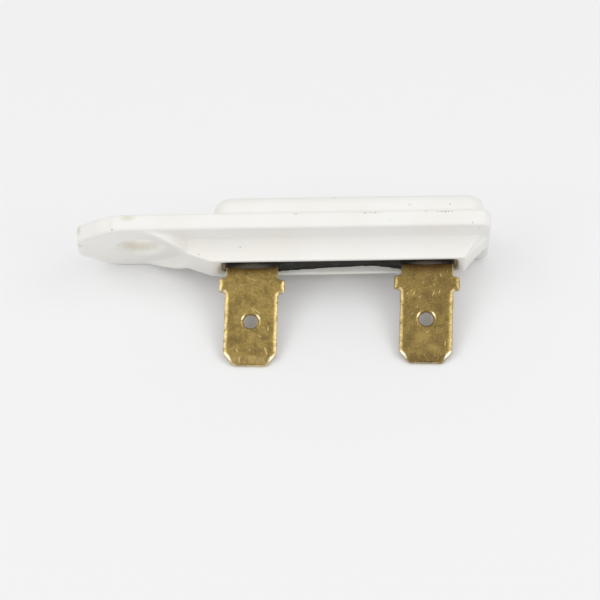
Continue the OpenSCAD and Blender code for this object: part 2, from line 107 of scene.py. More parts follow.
# Tan marks on the ceramic: stains, darker tan on the ramps at the slot's ends, and painted shade in the
# mounting hole's bore. Place in millimetres, half sizes, and strength
CERAMIC_STAINS_AND_SHADE = (
    ((-1.4, -0.5, 6.7), (1.3, 0.6, 0.6), 0.5),
    ((-7.3, -0.7, 3.0), (0.5, 0.9, 0.8), 0.6),
    ((-7.3, -2.0, 1.0), (0.5, 0.5, 0.9), 0.5),
    ((18.6, -0.3, 6.7), (0.45, 0.2, 0.3), 0.6),
    ((23.3, 2.0, 5.6), (0.5, 0.4, 0.5), 0.35),
    ((32.1, 0.8, 6.3), (0.4, 0.25, 0.3), 0.35),
    ((27.4, -0.3, 6.7), (2.3, 0.2, 0.3), 0.4),
    ((36.2, -0.3, 6.7), (1.4, 0.2, 0.3), 0.4),
    # Darker tan over the ramps at the slot's ends
    ((9.5, -4.5, -0.5), (0.8, 0.7, 2.6), 0.9),
    ((37.9, -4.5, -0.5), (0.7, 0.7, 2.6), 0.9),
    # Painted shade on the lower wall of the mounting hole's bore
    ((-0.4, -1.0, -2.2), (3.7, 0.85, 1.8), 0.6),
)

# Corners of the screw ear, rounded: place along and across the part, and the way in, in millimetres
EAR_CORNERS = (((-4.0, 6.75), (0.43, -0.9)), ((-4.0, -6.75), (0.43, 0.9)))
EAR_CORNER_REACH, EAR_CORNER_RADIUS = 2.4, 5.0

# Chips worn off the housing's corners: place in millimetres, radius and depth
CERAMIC_CHIPS = (
    ((41.4, -0.7, 5.9), 0.7, 0.12),
    ((41.2, -1.5, 6.3), 0.6, 0.10),
    ((40.6, -1.3, 6.75), 0.5, 0.06),
    ((-7.4, -1.8, 2.6), 0.6, 0.07),
)

# Scratches on a blade: place across and from the tip in millimetres, length, and angle in degrees
LEFT_SCRATCHES = (
    (-0.5, 10.9, 0.9, 140),
    (0.2, 10.6, 0.6, 150),
    (-1.3, 9.9, 0.4, 148),
    (-1.9, 9.4, 0.2, 140),
    (-1.9, 11.1, 0.3, 135),
    (2.2, 10.5, 0.2, 120),
    (0.2, 6.8, 0.9, 134),
    (0.7, 6.7, 1.5, 141),
    (2.1, 4.5, 0.7, 85),
    (1.1, 3.6, 0.7, 157),
    (0.0, 1.9, 0.2, 90),
    (-1.5, 1.7, 0.6, 117),
    (1.9, 1.8, 1.3, 111),
    (-1.2, 0.6, 0.9, 92),
)
RIGHT_SCRATCHES = (
    (-0.4, 10.0, 0.2, 30),
    (0.9, 9.7, 0.3, 34),
    (1.6, 10.9, 0.6, 115),
    (2.4, 11.4, 0.3, 66),
    (-1.5, 8.6, 0.6, 66),
    (-1.8, 8.9, 0.3, 48),
    (-2.3, 8.5, 0.2, 60),
    (-0.8, 8.1, 0.5, 51),
    (0.8, 8.6, 0.9, 69),
    (1.5, 8.8, 0.5, 64),
    (-1.1, 6.9, 0.2, 60),
    (-1.7, 6.0, 0.4, 52),
    (0.2, 3.8, 0.5, 41),
    (2.3, 2.4, 0.6, 91),
)

# Middle of the painted glint on a tip's cut corner, across and from the tip in millimetres, and its
# slant in degrees
CORNER_ACROSS, CORNER_FROM_TIP, CORNER_SLANT = 2.68, 0.95, 49.4
CORNER_SIZE, CORNER_LOOK = (0.95, 0.28), {"Wobble": 0.3, "Softness": 0.5}

# Painted highlights in arcs on a detent hole's rim: place across and from the hole, half sizes, and
# angle in degrees
RIM_ARCS = ((-0.93, 0.42, (0.45, 0.17), 62), (0.87, 0.56, (0.48, 0.19), 125))

# Round the detent hole, the radius in millimetres that is left out of the edges' painted highlight
HIGHLIGHT_FREE_RADIUS = 1.6

# Marks across a whole blade: place from the tip in millimetres, half sizes, and how ragged and soft
BLADE_MARKS = {
    # Painted shade of the brass next to the potting
    "root": (12.6, (5.0, 1.7), {"Wobble": 0.6, "Softness": 0.95}),
    "pale_tip": (0.35, (4.5, 0.95), {"Wobble": 0.25, "Softness": 0.4}),
    "pitted_tip": (0.2, (4.0, 1.15), {"Wobble": 0.9, "Softness": 0.45}),
    "burr": (0.14, (2.4, 0.1), {"Wobble": 0.5, "Softness": 0.5}),
}
PATCH_LOOK = {"Wobble": 1.2, "Softness": 0.9}

# How far a blade's marks reach into the brass, in millimetres
MARK_DEPTH = 0.35

# How strongly specks, the rim arcs' painted highlights, scratches and the tip's burr show
SPECK_STRENGTH, ARC_STRENGTH, SCRATCH_STRENGTH, BURR_STRENGTH = 0.65, 0.8, 0.75, 0.65

# Shares of the broad clouds and the fine grain in the brass's mottle
BROAD_SHARE, GRAIN_SHARE = 0.33, 0.34

# How upright a normal is on a blade's flat face, and on an edge that takes the painted highlight in full
FLAT_NORMAL, FULL_HIGHLIGHT_NORMAL = 0.99, 0.89

# Roughness that a worn tip adds, and the grain's share in the brass's relief
WORN_ROUGHNESS, GRAIN_RELIEF = 0.3, 0.5

# How far each finish's roughness goes below and above its own value
CERAMIC_SPREAD, COMPOUND_SPREAD = (0.08, 0.1), (0.08, 0.12)
BRASS_SPREAD, HIDDEN_SPREAD = (0.05, 0.07), (0.08, 0.08)

# Depth of each finish's fine relief, in millimetres
CERAMIC_RELIEF, COMPOUND_RELIEF, BRASS_RELIEF = 0.012, 0.006, 0.01

# Share of its colour that a hidden piece keeps in its darker patches
DARKER_SHARE = 0.8

# Painted sheen where the compound climbs a terminal: half sizes along the blade and across the plate,
# and its middle
CLIMB_SHEEN_MARK, CLIMB_SHEEN_MIDDLE = (0.7, 1.3), 0.5

# Painted shade on the compound at the slot's ends: half sizes in millimetres
END_SHADE_MARK = (0.6, 2.0, 4.0)

# How the potting's dish curves: 1 is straight, 2 is round
DISH_CURVE = 1.35

# A chip's evenness, and the size of its ragged grain in millimetres
CHIP_EVENNESS, CHIP_GRAIN = 0.6, 0.25

# How upright the normal of a blade's side may be, and the share of the coined length with the hole in it
SIDE_NORMAL, HOLE_STRETCH = 0.3, (0.1, 0.9)

# Depth of the tip's end that rests on the table, in millimetres
TIP_EDGE = 0.02

# Wear and painted light of each blade. A patch has its place across and from the tip, half sizes, and
# strength
BLADE_WEAR_AND_LIGHT = {
    "left": {
        "scratches": LEFT_SCRATCHES,
        "patches": (
            (-1.8, 3.0, (1.0, 0.9), 0.6),
            (1.8, 3.4, (0.9, 0.6), 0.7),
            (0.0, 1.6, (2.6, 0.6), 0.3),
        ),
        "cleaner": (
            (-0.6, 7.3, (0.9, 0.6), 0.3),
            (0.2, 3.7, (0.9, 0.9), 0.35),
        ),
        "browned": 0.0,
        # Strengths of the painted shade at the root, the painted highlight on the edges, and the painted
        # glint on the tip's corners
        "root": 0.7,
        "edge_highlight": 0.75,
        "corners": 0.6,
        "pale_tip": 0.6,
        "pitted_tip": 0.2,
    },
    "right": {
        "scratches": RIGHT_SCRATCHES,
        "patches": (
            (1.6, 6.9, (1.1, 1.2), 0.7),
            (0.0, 8.4, (1.3, 0.9), 0.6),
            (-1.9, 3.0, (0.9, 1.0), 0.7),
            (-2.4, 2.0, (0.6, 0.7), 0.6),
            (1.9, 10.0, (1.2, 0.8), 0.5),
        ),
        "cleaner": (
            (-0.4, 3.2, (1.4, 1.3), 0.6),
            (-2.0, 8.4, (0.8, 0.7), 0.5),
            (0.8, 1.8, (1.3, 0.7), 0.45),
        ),
        "browned": 0.7,
        # Strengths of the painted shade at the root, the painted highlight on the edges, and the painted
        # glint on the tip's corners
        "root": 0.9,
        "edge_highlight": 0.45,
        "corners": 0.8,
        "pale_tip": 0.1,
        "pitted_tip": 0.62,
    },
}


def length(name, description, default):
    """A size that a user may change, in metres."""
    return FloatProperty(
        name=name, description=description, default=default, min=0.0, precision=5, unit="LENGTH"
    )


def share(name, description, default):
    """A value from none to full."""
    return FloatProperty(
        name=name, description=description, default=default, min=0.0, max=1.0, subtype="FACTOR"
    )


def angle(name, description, degrees):
    """An angle that a user may change."""
    return FloatProperty(
        name=name, description=description, default=math.radians(degrees), subtype="ANGLE"
    )


def tint(name, description, default):
    """A colour that a user may change."""
    return FloatVectorProperty(
        name=name,
        description=description,
        default=(*default, 1.0),
        size=4,
        min=0.0,
        max=1.0,
        subtype="COLOR",
    )


class CeramicSettings(bpy.types.PropertyGroup):
    """Shape and finish of the ceramic housing."""

    cell: length("Cell", "Size of the housing's even mesh", 0.16 * MM)
    easing: IntProperty(name="Easing", description="Rounds that ease the edges", default=2, min=0)
    colour: tint("Colour", "Fired ceramic", (0.91, 0.903, 0.875))
    warm: tint("Warm tone", "Warmer patches of the ceramic", (0.895, 0.88, 0.83))
    speck: tint("Speck", "Dark specks in the ceramic", (0.16, 0.13, 0.10))
    # Tan of the stains, also of the tan at the slot's ends and of the painted shade in the mounting
    # hole's bore
    stain_and_shade: tint("Stain", "Tan stains on the ceramic", (0.66, 0.60, 0.44))
    roughness: share("Roughness", "How matt the ceramic is", 0.55)


class PottingSettings(bpy.types.PropertyGroup):
    """Shape and finish of the potting compound."""

    cell: length("Cell", "Size of the potting's even mesh", 0.13 * MM)
    climb_left: length("Climb on the left", "Rise of the potting at the left terminal", 0.85 * MM)
    climb_right: length("Climb on the right", "Rise of the potting at the right terminal", 0.6 * MM)
    climb_bow: length("Climb bow", "How much lower that rise is at a terminal's edges", 0.4 * MM)
    climb_spread: length("Climb spread", "How far that rise spreads", 0.3 * MM)
    dish_depth: length("Dish depth", "How far the potting sank between the terminals", 0.5 * MM)
    dish_lowest: share("Lowest point", "Where it sank most, from midway to the right terminal", 0.5)
    wall_climb: length("Wall climb", "Rise of the potting along the slot's walls", 0.12 * MM)
    ripple: length("Ripple", "Height of the waves in the cast surface", 0.05 * MM)
    ripple_size: length("Ripple size", "Size of the waves in the cast surface", 2.2 * MM)
    stem_width: length("Stem width", "Width of a terminal where it leaves the potting", 6.2 * MM)
    strip: length("Strip", "Thickness of a terminal", 0.8 * MM)
    soft_depth: length("Soft depth", "Depth of the layer that takes the waves", 0.9 * MM)
    colour: tint("Colour", "Black potting compound", (0.014, 0.014, 0.011))
    dusty: tint("Dusty tone", "Greyer patches of the compound", (0.026, 0.026, 0.022))
    # Painted sheen where the compound climbs the terminals
    climb_sheen: tint("Grey", "Compound drawn thin up the terminals", (0.115, 0.1, 0.078))
    # Painted shade on the compound at the slot's ends
    end: tint("Ends", "Compound drawn thin over the slot's ends", (0.32, 0.25, 0.17))
    roughness: share("Roughness", "How matt the compound is", 0.55)


class BladeSettings(bpy.types.PropertyGroup):
    """Shape and finish of the brass terminals."""

    cell: length("Cell", "Size of a terminal's even mesh", 0.085 * MM)
    easing: IntProperty(name="Easing", description="Rounds that ease the edges", default=4, min=0)
    bevel_width: length("Bevel width", "Width of the coined edge around a blade", 0.65 * MM)
    bevel_depth: length("Bevel depth", "Depth of the coined edge on each face", 0.18 * MM)
    detent_from_tip: length("Detent", "Distance from the detent hole to the tip", 5.45 * MM)
    thickness: length("Thickness", "Thickness of a terminal", 0.8 * MM)
    coined_length: length("Coined length", "Length from the tip that has coined edges", 10.75 * MM)
    hole_room: length("Hole room", "Half width around the detent hole left out of the coining", 1.6 * MM)
    brass: tint("Brass", "Bare brass", (0.57, 0.41, 0.13))
    tarnish: tint("Tarnish", "Browned patches of the brass", (0.22, 0.152, 0.055))
    pale: tint("Pale tip", "Cleaner brass at a tip", (0.66, 0.48, 0.20))
    # Painted shade, reddish brown, of the brass next to the potting
    root: tint("Root", "Reddish tarnish next to the potting", (0.28, 0.135, 0.05))
    # Painted highlight on the blades' sloping edges and on the detent holes' rims
    bright: tint("Bright", "Brass rubbed bright", (0.93, 0.80, 0.50))
    scratch: tint("Scratch", "Brass laid bare by a scratch", (0.88, 0.70, 0.36))
    # Painted glint on the tip's cut corners
    painted_glint: tint("Glint", "Polished corners of a tip", (0.97, 0.92, 0.76))
    pits: tint("Pits", "Dark pits at a worn tip", (0.11, 0.07, 0.028))
    roughness: share("Roughness", "How matt the brass is", 0.34)
    scratch_width: length("Scratch width", "Half width of a scratch", 0.055 * MM)


class CutoffSettings(bpy.types.PropertyGroup):
    """Finish of the cutoff cartridge inside the housing."""

    case: tint("Case", "Plated case", (0.75, 0.74, 0.70))
    lead: tint("Lead", "Tinned lead wire", (0.78, 0.77, 0.74))
    pellet: tint("Pellet", "Pressed pellet", (0.86, 0.83, 0.72))
    disc: tint("Disc", "Stamped discs", (0.62, 0.50, 0.26))
    spring: tint("Spring", "Spring wire", (0.60, 0.60, 0.62))
    contact: tint("Contact", "Plated star contact", (0.78, 0.68, 0.42))
    bushing: tint("Bushing", "Ceramic bushing", (0.90, 0.89, 0.86))
    seal: tint("Seal", "Amber epoxy seal", (0.45, 0.26, 0.10))


class StageSettings(bpy.types.PropertyGroup):
    """Floor, lights and camera."""

    floor_size: length("Floor size", "Side of the floor", 4.0)
    floor: tint("Floor", "Pale floor", (0.895, 0.895, 0.90))
    glow: tint("Glow", "Even tone of the floor as it is seen", (0.915, 0.915, 0.917))
    glow_share: share("Glow share", "How much of that even tone the floor shows", 0.36)
    glow_reach: length("Glow reach", "Height of the part at which that tone fades under it", 5.0 * MM)
    sky: FloatProperty(name="Sky", description="Strength of the even light", default=0.64, min=0.0)
    lamp_power: FloatProperty(
        name="Lamp power", description="Power of each side lamp", default=0.54, min=0.0, unit="POWER"
    )
    lamp_lean: angle("Lamp lean", "How far the lamps lean towards the blades' tips", 17)
    lamp_width: length("Lamp width", "Size of a side lamp across the part", 0.2)
    lamp_depth: length("Lamp depth", "Size of a side lamp along the blades", 0.46)
    lamp_distance: length("Lamp distance", "Distance from the part to a side lamp", 0.45)
    lamp_height: angle("Lamp height", "Angle of a side lamp above the floor", 53)
    elevation: angle("Elevation", "Angle of the camera above the plate's width", 72.5)
    roll: angle("Roll", "Roll of the camera", 0.9)
    distance: length("Distance", "Distance from the camera to the mounting hole", 0.6)
    scale: FloatProperty(
        name="Scale", description="Pixels to a millimetre at the mounting hole", default=8.36, min=1.0
    )
    hole_across: FloatProperty(
        name="Hole across", description="Pixels from the left to the mounting hole", default=141.0
    )
    hole_down: FloatProperty(
        name="Hole down", description="Pixels from the top to the mounting hole", default=247.6
    )
    hole_face: length("Hole face", "Distance from the hole's back to its front face", 2.0 * MM)


class Wiring:
    """Adds nodes to one shader tree and links them by the names of their sockets."""

    def __init__(self, tree):
        self.tree = tree

    def feed(self, node, inputs):
        for name, value in inputs.items():
            if isinstance(value, bpy.types.NodeSocket):
                self.tree.links.new(value, node.inputs[name])
            else:
                node.inputs[name].default_value = value
        return node

    def add(self, kind, inputs=None, **settings):
        node = self.tree.nodes.new(kind)
        for name, value in settings.items():
            setattr(node, name, value)
        return self.feed(node, inputs or {})

    def calculate(self, operation, a, b=0.0):
        return self.add("ShaderNodeMath", {0: a, 1: b}, operation=operation).outputs[0]

    def vector(self, operation, a, b):
        return self.add("ShaderNodeVectorMath", {0: a, 1: b}, operation=operation).outputs[0]

    def mix(self, mask, a, b):
        node = self.add("ShaderNodeMix", data_type="RGBA")
        return self.feed(node, {0: mask, MIX_A: a, MIX_B: b}).outputs[MIX_RESULT]

    def varied(self, mask, value, spread):
        """A value that goes with the mask from below its own to above it."""
        low, high = value - spread[0], value + spread[1]
        node = self.add("ShaderNodeMapRange", {"Value": mask, "To Min": low, "To Max": high})
        return node.outputs[0]

    def effect(self, name, inputs):
        """A shared effect placed with its own values: the mask that it puts out."""
        tree = bpy.data.node_groups.get(name) or EFFECTS[name](name)
        return self.feed(self.add("ShaderNodeGroup", node_tree=tree), inputs).outputs["Mask"]

    def strongest(self, masks):
        result = masks[0]
        for mask in masks[1:]:
            result = self.calculate("MAXIMUM", result, mask)
        return result

    def relief(self, shader, height, depth):
        bump = self.add("ShaderNodeBump", {"Height": height, "Distance": depth * MM})
        self.feed(shader, {"Normal": bump.outputs["Normal"]})


def effect_group(name, inputs):
    """A new node group with these inputs that puts out one mask: its wiring, inputs and outputs."""
    tree = bpy.data.node_groups.new(name, "ShaderNodeTree")
    for label, value in inputs.items():
        kind = "NodeSocketVector" if isinstance(value, tuple) else "NodeSocketFloat"
        socket = tree.interface.new_socket(label, in_out="INPUT", socket_type=kind)
        socket.default_value = value
    tree.interface.new_socket("Mask", in_out="OUTPUT", socket_type="NodeSocketFloat")
    wiring = Wiring(tree)
    return wiring, wiring.add("NodeGroupInput").outputs, wiring.add("NodeGroupOutput")


def place_in_mm(wiring):
    """Where a point of the part lies, in millimetres."""
    place = wiring.add("ShaderNodeTexCoord").outputs["Object"]
    return wiring.vector("MULTIPLY", place, (1 / MM, 1 / MM, 1 / MM))


def clouding(name):
    """Cloudy patches, fine grain or drawn lines, by scale and stretch."""
    wiring, given, result = effect_group(
        name, {"Scale": 1.0, "Detail": 3.0, "Low": 0.35, "High": 0.65, "Stretch": (1.0, 1.0, 1.0)}
    )
    place = wiring.vector("MULTIPLY", place_in_mm(wiring), given["Stretch"])
    clouds = wiring.add(
        "ShaderNodeTexNoise", {"Vector": place, "Scale": given["Scale"], "Detail": given["Detail"]}
    )
    mask = wiring.add(
        "ShaderNodeMapRange",
        {"Value": clouds.outputs[0], "From Min": given["Low"], "From Max": given["High"]},
        interpolation_type="SMOOTHSTEP",
    )
    wiring.feed(result, {"Mask": mask.outputs[0]})
    return wiring.tree


def speckle(name):
    """Small scattered specks, in that share of the cells."""
    wiring, given, result = effect_group(name, {"Scale": 1.0, "Size": 0.1, "Share": 0.2})
    cells = wiring.add(
        "ShaderNodeTexVoronoi", {"Vector": place_in_mm(wiring), "Scale": given["Scale"]}
    )
    near = wiring.add(
        "ShaderNodeMapRange",
        {"Value": cells.outputs["Distance"], "From Min": given["Size"], "From Max": 0.0},
        interpolation_type="SMOOTHSTEP",
    )
    chance = wiring.add("ShaderNodeSeparateColor", {0: cells.outputs["Color"]})
    chosen = wiring.calculate("LESS_THAN", chance.outputs[0], given["Share"])
    wiring.feed(result, {"Mask": wiring.calculate("MULTIPLY", near.outputs[0], chosen)})
    return wiring.tree


def placed_mark(name):
    """One speck, scratch, tan mark, painted shade or painted highlight at a place in millimetres, turned
    about the part's Z axis.
    """
    wiring, given, result = effect_group(
        name,
        {
            "Centre": (0.0, 0.0, 0.0),
            "Size": (1.0, 1.0, 1.0),
            "Angle": 0.0,
            "Wobble": 0.5,
            "Softness": 0.6,
        },
    )
    place = place_in_mm(wiring)
    offset = wiring.vector("SUBTRACT", place, given["Centre"])
    turned = wiring.add(
        "ShaderNodeVectorRotate",
        {"Vector": offset, "Angle": wiring.calculate("MULTIPLY", given["Angle"], -1.0)},
        rotation_type="Z_AXIS",
    )
    scaled = wiring.vector("DIVIDE", turned.outputs[0], given["Size"])
    reach = wiring.add("ShaderNodeVectorMath", {0: scaled}, operation="LENGTH").outputs["Value"]
    ragged = wiring.add("ShaderNodeTexNoise", {"Vector": place, "Scale": 4.0, "Detail": 2.0})
    uneven = wiring.calculate("SUBTRACT", ragged.outputs[0], 0.5)
    reach = wiring.calculate("ADD", reach, wiring.calculate("MULTIPLY", uneven, given["Wobble"]))
    core = wiring.calculate("SUBTRACT", 1.0, given["Softness"])
    mask = wiring.add(
        "ShaderNodeMapRange",
        {"Value": reach, "From Min": 1.0, "From Max": core},
        interpolation_type="SMOOTHSTEP",
    )
    wiring.feed(result, {"Mask": mask.outputs[0]})
    return wiring.tree


EFFECTS = {"Clouding": clouding, "Speckle": speckle, "Placed mark": placed_mark}


def principled(name, inputs):
    """A new material: the material, its wiring and its shader."""
    material = bpy.data.materials.new(name)
    material.use_nodes = True
    material.node_tree.nodes.clear()
    wiring = Wiring(material.node_tree)
    shader = wiring.add("ShaderNodeBsdfPrincipled", inputs)
    wiring.add("ShaderNodeOutputMaterial", {"Surface": shader.outputs[0]})
    return material, wiring, shader


def ceramic_material(settings):
    """Matt off-white fired ceramic with warm patches, specks, tan stains, and painted shade in the
    mounting hole's bore.
    """
    material, wiring, shader = principled("fired_ceramic", {"IOR": 1.5})
    patches = wiring.effect("Clouding", {"Scale": 0.18, "Detail": 4.0})
    colour = wiring.mix(patches, settings.colour, settings.warm)
    # Stains, darker tan at the slot's ends, and painted shade in the mounting hole's bore
    for centre, size, strength in CERAMIC_STAINS_AND_SHADE:
        stain_and_shade = wiring.effect(
            "Placed mark", {"Centre": centre, "Size": size, "Wobble": 0.8, "Softness": 0.9}
        )
        colour = wiring.mix(wiring.calculate("MULTIPLY", stain_and_shade, strength), colour, settings.stain_and_shade)
    specks = [
        wiring.effect("Placed mark", {"Centre": centre, "Size": (radius, radius, radius)})
        for centre, radius in CERAMIC_SPECKS
    ]
    specks.append(wiring.effect("Speckle", {"Scale": 0.55, "Size": 0.05, "Share": 0.3}))
    spotted = wiring.calculate("MULTIPLY", wiring.strongest(specks), SPECK_STRENGTH)
    colour = wiring.mix(spotted, colour, settings.speck)
    grain = wiring.effect("Clouding", {"Scale": 9.0, "Detail": 3.0, "Low": 0.2, "High": 0.8})
    rough = wiring.varied(grain, settings.roughness, CERAMIC_SPREAD)
    wiring.feed(shader, {"Base Color": colour, "Roughness": rough})
    wiring.relief(shader, grain, CERAMIC_RELIEF)
    return material


def potting_material(settings):
    """Black cast compound with greyer patches, a painted sheen where it climbs the terminals, and
    painted shade at the slot's ends.
    """
    material, wiring, shader = principled("cast_compound", {"IOR": 1.2})
    patches = wiring.effect("Clouding", {"Scale": 0.8, "Detail": 4.0})
    grain = wiring.effect("Clouding", {"Scale": 6.0, "Detail": 4.0})
    colour = wiring.mix(patches, settings.colour, settings.dusty)
    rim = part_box("potting")[0].y / MM
    # Painted sheen where the compound climbs each terminal
    for stem in stem_places(rim * MM):
        centre = (stem / MM, rim, CLIMB_SHEEN_MIDDLE)
        size = (settings.stem_width / 2 / MM, *CLIMB_SHEEN_MARK)
        climb_sheen_mask = wiring.effect("Placed mark", {"Centre": centre, "Size": size})
        colour = wiring.mix(climb_sheen_mask, colour, settings.climb_sheen)
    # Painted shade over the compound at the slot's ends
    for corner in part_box("potting"):
        centre = (corner.x / MM, rim, 0.0)
        end_shade_mask = wiring.effect(
            "Placed mark", {"Centre": centre, "Size": END_SHADE_MARK, "Wobble": 0.4, "Softness": 1.0}
        )
        colour = wiring.mix(end_shade_mask, colour, settings.end)
    rough = wiring.varied(grain, settings.roughness, COMPOUND_SPREAD)
    wiring.feed(shader, {"Base Color": colour, "Roughness": rough})
    wiring.relief(shader, grain, COMPOUND_RELIEF)
    return material


def blade_axes(mount):
    """A blade's tip in millimetres, the way back from it, and the way across it."""
    back = -Vector(mount["axis"]).normalized()
    return Vector(mount["pos_m"]) / MM, back, back.cross(Vector((0, 0, 1)))


def blade_mark(wiring, settings, mount, across, from_tip, size, degrees=0.0, **look):
    """A mark on a blade's upper face, by its distances across and from the tip in millimetres."""
    tip, back, side = blade_axes(mount)
    face = Vector((0, 0, settings.thickness / 2 / MM))
    centre = tip + side * across + back * from_tip + face
    turn = math.radians(degrees) + math.atan2(side.y, side.x)
    given = {"Centre": tuple(centre), "Size": (*size, MARK_DEPTH), "Angle": turn, **look}
    return wiring.effect("Placed mark", given)


def tarnish_of(wiring, settings):
    """Mottled brass: its colour and the mask of its fine grain."""
    clouds = wiring.effect("Clouding", {"Scale": 0.9, "Detail": 4.0, "Low": 0.4, "High": 0.62})
    mottle = wiring.effect("Clouding", {"Scale": 2.6, "Detail": 3.0, "Low": 0.36, "High": 0.64})
    grain = wiring.effect("Clouding", {"Scale": 7.5, "Detail": 2.0, "Low": 0.3, "High": 0.7})
    broad = wiring.calculate("MULTIPLY", wiring.calculate("ADD", clouds, mottle), BROAD_SHARE)
    browned = wiring.calculate("ADD", broad, wiring.calculate("MULTIPLY", grain, GRAIN_SHARE))
    return wiring.mix(browned, settings.brass, settings.tarnish), grain


def edge_highlights(wiring):
    """Mask of the sloping edges, where a painted highlight brightens the brass in places."""
    normal = wiring.add("ShaderNodeTexCoord").outputs["Normal"]
    upright = wiring.add("ShaderNodeSeparateXYZ", {0: normal}).outputs["Z"]
    upright = wiring.calculate("ABSOLUTE", upright)
    slope = wiring.add(
        "ShaderNodeMapRange",
        {"Value": upright, "From Min": FLAT_NORMAL, "From Max": FULL_HIGHLIGHT_NORMAL},
    )
    uneven = wiring.effect("Clouding", {"Scale": 1.6, "Detail": 4.0, "Low": 0.3, "High": 0.62})
    return wiring.calculate("MULTIPLY", slope.outputs[0], uneven)


def brass_material(name, settings, mount, wear_and_light):
    """Stamped brass: mottled, scratched and worn at its tip, with painted highlights on its edges, rim
    arcs and tip corners, and painted shade next to the potting.
    """
    material, wiring, shader = principled(name, {"Metallic": 1.0})
    colour, grain = tarnish_of(wiring, settings)

    def mark(across, from_tip, size, degrees=0.0, **look):
        return blade_mark(wiring, settings, mount, across, from_tip, size, degrees, **look)

    def mark_across(kind):
        from_tip, size, look = BLADE_MARKS[kind]
        return mark(0.0, from_tip, size, **look)

    def lay(mask, strength, tone):
        return wiring.mix(wiring.calculate("MULTIPLY", mask, strength), colour, tone)

    for across, from_tip, size, strength in wear_and_light["patches"]:
        patch = mark(across, from_tip, size, **PATCH_LOOK)
        colour = lay(patch, strength, settings.tarnish)
    colour = lay(grain, wear_and_light["browned"], settings.tarnish)
    for across, from_tip, size, strength in wear_and_light["cleaner"]:
        patch = mark(across, from_tip, size, **PATCH_LOOK)
        colour = lay(patch, strength, settings.brass)
    # Painted shade, reddish brown, next to the potting
    colour = lay(mark_across("root"), wear_and_light["root"], settings.root)
    detent = settings.detent_from_tip / MM
    # Painted highlight on the sloping edges, left out round the detent hole
    beside_hole = mark(0.0, detent, (HIGHLIGHT_FREE_RADIUS, HIGHLIGHT_FREE_RADIUS), Wobble=0.0, Softness=0.1)
    edge_highlight = wiring.calculate("SUBTRACT", edge_highlights(wiring), beside_hole)
    colour = lay(wiring.calculate("MAXIMUM", edge_highlight, 0.0), wear_and_light["edge_highlight"], settings.bright)
    # Painted highlights in arcs on the detent hole's rim
    for across, past_hole, size, degrees in RIM_ARCS:
        arc = mark(across, detent + past_hole, size, degrees, Wobble=0.2)
        colour = lay(arc, ARC_STRENGTH, settings.bright)
    width = settings.scratch_width / MM
    scratched = wiring.strongest(
        [
            mark(across, from_tip, (streak / 2 + width, width), degrees)
            for across, from_tip, streak, degrees in wear_and_light["scratches"]
        ]
    )
    colour = lay(scratched, SCRATCH_STRENGTH, settings.scratch)
    streaks = wiring.effect(
        "Clouding", {"Scale": 1.6, "Detail": 3.0, "Low": 0.2, "High": 0.6, "Stretch": (2.0, 0.5, 1.0)}
    )
    paled = wiring.calculate("MULTIPLY", mark_across("pale_tip"), streaks)
    colour = lay(paled, wear_and_light["pale_tip"], settings.pale)
    pits = wiring.effect("Clouding", {"Scale": 4.2, "Detail": 3.0, "Low": 0.32, "High": 0.5})
    pitted = wiring.calculate("MULTIPLY", mark_across("pitted_tip"), pits)
    worn = wiring.calculate("MULTIPLY", pitted, wear_and_light["pitted_tip"])
    colour = wiring.mix(worn, colour, settings.pits)
    colour = lay(mark_across("burr"), BURR_STRENGTH, settings.pits)
    # Painted glint on the tip's cut corners
    for across, degrees in ((-CORNER_ACROSS, 180 - CORNER_SLANT), (CORNER_ACROSS, CORNER_SLANT)):
        corner = mark(across, CORNER_FROM_TIP, CORNER_SIZE, degrees, **CORNER_LOOK)
        colour = lay(corner, wear_and_light["corners"], settings.painted_glint)
    dull = wiring.varied(grain, settings.roughness, BRASS_SPREAD)
    rough = wiring.calculate("ADD", dull, wiring.calculate("MULTIPLY", worn, WORN_ROUGHNESS))
    wiring.feed(shader, {"Base Color": colour, "Roughness": rough})
    dents = wiring.calculate("MULTIPLY", wiring.calculate("ADD", scratched, worn), -1.0)
    surface = wiring.calculate("ADD", wiring.calculate("MULTIPLY", grain, GRAIN_RELIEF), dents)
    wiring.relief(shader, surface, BRASS_RELIEF)
    return material


def plain_material(name, colour, metallic, roughness, stretch):
    """Finish of a hidden piece: a colour with clouded tone and roughness, drawn along stretch."""
    material, wiring, shader = principled(name, {"Metallic": metallic})
    tone = wiring.effect("Clouding", {"Scale": 2.0, "Detail": 4.0, "Stretch": stretch})
    darker = (*(part * DARKER_SHARE for part in colour[:3]), 1.0)
    wiring.feed(
        shader,
        {
            "Base Color": wiring.mix(tone, tuple(colour), darker),
            "Roughness": wiring.varied(tone, roughness, HIDDEN_SPREAD),
        },
    )
    return material


def even_copy(node, name, cell, easing):
    """A new piece with the node's shape on an even mesh, with its edges eased in that many rounds."""
    piece = bpy.data.objects.new(name, frame["nodes"][node].data.copy())
    bpy.context.scene.collection.objects.link(piece)
    piece.data.materials.clear()
    even = piece.modifiers.new("Even mesh", "REMESH")
    even.mode = "VOXEL"
    even.voxel_size = cell
    even.use_smooth_shade = True
    if easing:
        eased = piece.modifiers.new("Eased edges", "SMOOTH")
        eased.iterations = easing
    graph = bpy.context.evaluated_depsgraph_get()
    mesh = bpy.data.meshes.new_from_object(piece.evaluated_get(graph), depsgraph=graph)
    piece.modifiers.clear()
    piece.data = mesh
    mesh.name = name
    if not mesh.polygons:
        raise RuntimeError(f"{name} has no faces after its even mesh was made")
    return piece


def points_of(mesh):
    """The mesh's points as rows of x, y and z."""
    points = np.empty(len(mesh.vertices) * 3, np.float32)
    mesh.vertices.foreach_get("co", points)
    return points.reshape(-1, 3).astype(float)


def move_points(mesh, points):
    mesh.vertices.foreach_set("co", points.astype(np.float32).ravel())
    mesh.update()


